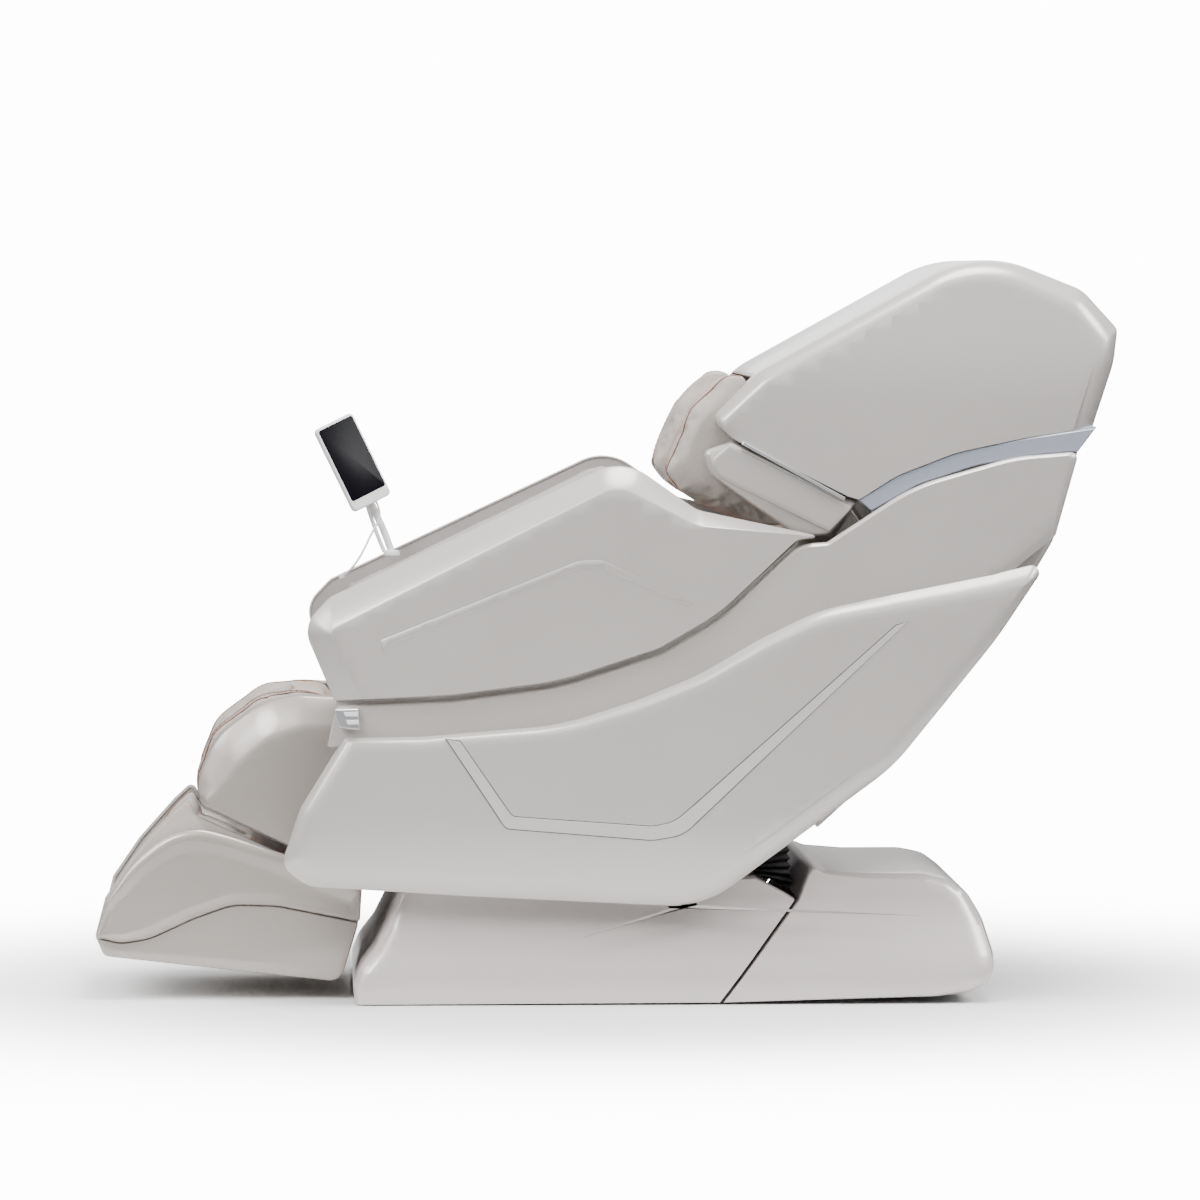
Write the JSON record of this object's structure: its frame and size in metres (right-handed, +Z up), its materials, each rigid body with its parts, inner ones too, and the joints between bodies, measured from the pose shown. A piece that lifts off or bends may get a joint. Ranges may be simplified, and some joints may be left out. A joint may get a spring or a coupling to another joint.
{
  "type": "massage chair",
  "caption": "Reclining massage chair with shell sides, hooded back, leg and foot rest, rocking floor base and a tablet remote on the arm.",
  "frame": {"origin": "on the floor, below the middle of the whole chair's box", "axes": "+Z up; the sitter faces -Y; +X is the sitter's left"},
  "size_m": [0.794, 1.6166, 1.1743],
  "materials": {
    "pearl_shell": "satin gloss",
    "dark_pearl_shell": "gloss",
    "blue_grey_trim": "satin",
    "bright_trim": "polished",
    "taupe_leather": "soft grain",
    "black_rubber": "matt",
    "frame_steel": "powder coat",
    "bright_steel": "ground",
    "black_plastic": "fine texture",
    "white_plastic": "gloss",
    "seat_wood": "plywood"
  },
  "bodies": {
    "base": {"base_rails": "frame_steel", "base_cross_tubes": "frame_steel", "levelling_feet": "black_rubber", "control_box": "black_plastic", "air_pump": "black_plastic", "support_brackets": "frame_steel", "wheel_axle": "bright_steel", "tilt_actuator_body": "black_plastic", "base_front_cover": "pearl_shell", "base_rear_cover": "pearl_shell", "power_inlet": "black_plastic"},
    "front_rollers": {"front_support_rollers": "bright_steel"},
    "rear_rollers": {"rear_support_rollers": "bright_steel"},
    "wheels": {"transport_wheels": "black_rubber"},
    "tilt_rod": {"tilt_actuator_rod": "bright_steel"},
    "switch": {"power_switch": "black_plastic"},
    "seat": {"side_shell_left": "pearl_shell", "side_shell_right": "pearl_shell", "arm_panel_left": "pearl_shell", "arm_panel_right": "pearl_shell", "arm_pad_left": "taupe_leather", "arm_pad_right": "taupe_leather", "arm_vents": "bright_trim", "rocker_rails": "frame_steel", "seat_cross_tubes": "frame_steel", "seat_side_plates": "frame_steel", "back_hinge_pin": "bright_steel", "leg_hinge_pin": "bright_steel", "seat_board": "seat_wood", "seat_cushion": "taupe_leather", "rear_lower_cover": "pearl_shell", "dust_boot": "black_rubber", "leg_actuator_body": "black_plastic", "tablet_cord": "white_plastic"},
    "leg_rod": {"leg_actuator_rod": "bright_steel"},
    "backrest": {"hood_shell": "pearl_shell", "hood_band": "blue_grey_trim", "rear_upper_cover": "pearl_shell", "shoulder_wings": "pearl_shell", "side_pads": "taupe_leather", "back_cushion": "taupe_leather", "head_pillow": "taupe_leather", "back_rails": "frame_steel", "back_cross_beams": "frame_steel"},
    "screw": {"lift_screw": "bright_steel"},
    "carriage": {"massage_carriage": "frame_steel", "carriage_motors": "black_plastic"},
    "massage_head": {"massage_arms": "frame_steel"},
    "upper_rollers": {"massage_rollers_upper": "black_plastic"},
    "lower_rollers": {"massage_rollers_lower": "black_plastic"},
    "calf_rest": {"calf_shell": "dark_pearl_shell", "calf_pad": "taupe_leather"},
    "foot_rest": {"foot_shell": "dark_pearl_shell", "foot_pad": "taupe_leather", "foot_slide_rods": "bright_steel"},
    "front_foot_roller": {"foot_roller_front": "black_plastic"},
    "rear_foot_roller": {"foot_roller_rear": "black_plastic"},
    "tablet_stand": {"tablet_post": "white_plastic", "tablet": "white_plastic", "tablet_cradle": "white_plastic"}
  },
  "joints": [
    {"name": "chair_tilt", "type": "hinge", "parent": "base", "child": "seat", "pos_m": [0, 0, 0.5], "axis": [-1, 0, 0], "range_deg": [0, 16], "deforming": ["dust_boot"]},
    {"name": "front_roller_spin", "type": "hinge", "parent": "base", "child": "front_rollers", "pos_m": [0, -0.15815, 0.22608], "axis": [-1, 0, 0], "range_deg": [-310, 5]},
    {"name": "rear_roller_spin", "type": "hinge", "parent": "base", "child": "rear_rollers", "pos_m": [0, 0.15815, 0.22608], "axis": [-1, 0, 0], "range_deg": [-310, 5]},
    {"name": "wheel_spin", "type": "hinge", "parent": "base", "child": "wheels", "pos_m": [0, 0.47, 0.033], "axis": [-1, 0, 0], "continuous": true},
    {"name": "tilt_push", "type": "slide", "parent": "base", "child": "tilt_rod", "axis": [0, -1, 0], "range_m": [0, 0.092]},
    {"name": "power_rocker", "type": "hinge", "parent": "base", "child": "switch", "pos_m": [-0.11, 0.601, 0.064], "axis": [1, 0, 0], "range_deg": [-8, 8]},
    {"name": "leg_lift", "type": "hinge", "parent": "seat", "child": "calf_rest", "pos_m": [0, -0.395, 0.44], "axis": [-1, 0, 0], "range_deg": [0, 65]},
    {"name": "leg_push", "type": "slide", "parent": "seat", "child": "leg_rod", "axis": [0, -1, 0], "range_m": [0, 0.092]},
    {"name": "foot_slide", "type": "slide", "parent": "calf_rest", "child": "foot_rest", "axis": [0, -0.46, -0.8879], "range_m": [0, 0.15]},
    {"name": "front_foot_roller_spin", "type": "hinge", "parent": "foot_rest", "child": "front_foot_roller", "pos_m": [0, -0.7, 0.084], "axis": [-1, 0, 0], "continuous": true},
    {"name": "rear_foot_roller_spin", "type": "hinge", "parent": "foot_rest", "child": "rear_foot_roller", "pos_m": [0, -0.59, 0.084], "axis": [-1, 0, 0], "continuous": true},
    {"name": "backrest_recline", "type": "hinge", "parent": "seat", "child": "backrest", "pos_m": [0, 0.11, 0.37], "axis": [-1, 0, 0], "range_deg": [0, 20]},
    {"name": "carriage_travel", "type": "slide", "parent": "backrest", "child": "carriage", "axis": [0, 0.5299, 0.848], "range_m": [0, 0.34]},
    {"name": "screw_turn", "type": "hinge", "parent": "backrest", "child": "screw", "pos_m": [0, 0.36226, 0.56612], "axis": [0, 0.5299, 0.848], "continuous": true},
    {"name": "massage_tap", "type": "hinge", "parent": "carriage", "child": "massage_head", "pos_m": [0, 0.2568, 0.47283], "axis": [-1, 0, 0], "range_deg": [-3, 3]},
    {"name": "upper_roller_spin", "type": "hinge", "parent": "massage_head", "child": "upper_rollers", "pos_m": [0, 0.27269, 0.53601], "axis": [-1, 0, 0], "continuous": true},
    {"name": "lower_roller_spin", "type": "hinge", "parent": "massage_head", "child": "lower_rollers", "pos_m": [0, 0.20698, 0.43085], "axis": [-1, 0, 0], "continuous": true},
    {"name": "tablet_swivel", "type": "hinge", "parent": "seat", "child": "tablet_stand", "pos_m": [-0.257, -0.333, 0.69], "axis": [0, 0, 1], "range_deg": [-20, 30], "deforming": ["tablet_cord"]}
  ],
  "couplings": [
    {"joint": "front_roller_spin", "follows": "chair_tilt", "ratio": -18.75},
    {"joint": "rear_roller_spin", "follows": "chair_tilt", "ratio": -18.75},
    {"joint": "tilt_push", "follows": "chair_tilt", "m_per_rad": 0.32},
    {"joint": "leg_push", "follows": "leg_lift", "m_per_rad": 0.08},
    {"joint": "foot_slide", "follows": "leg_lift", "m_per_rad": 0.13},
    {"joint": "screw_turn", "follows": "carriage_travel", "rad_per_m": 314.16}
  ]
}
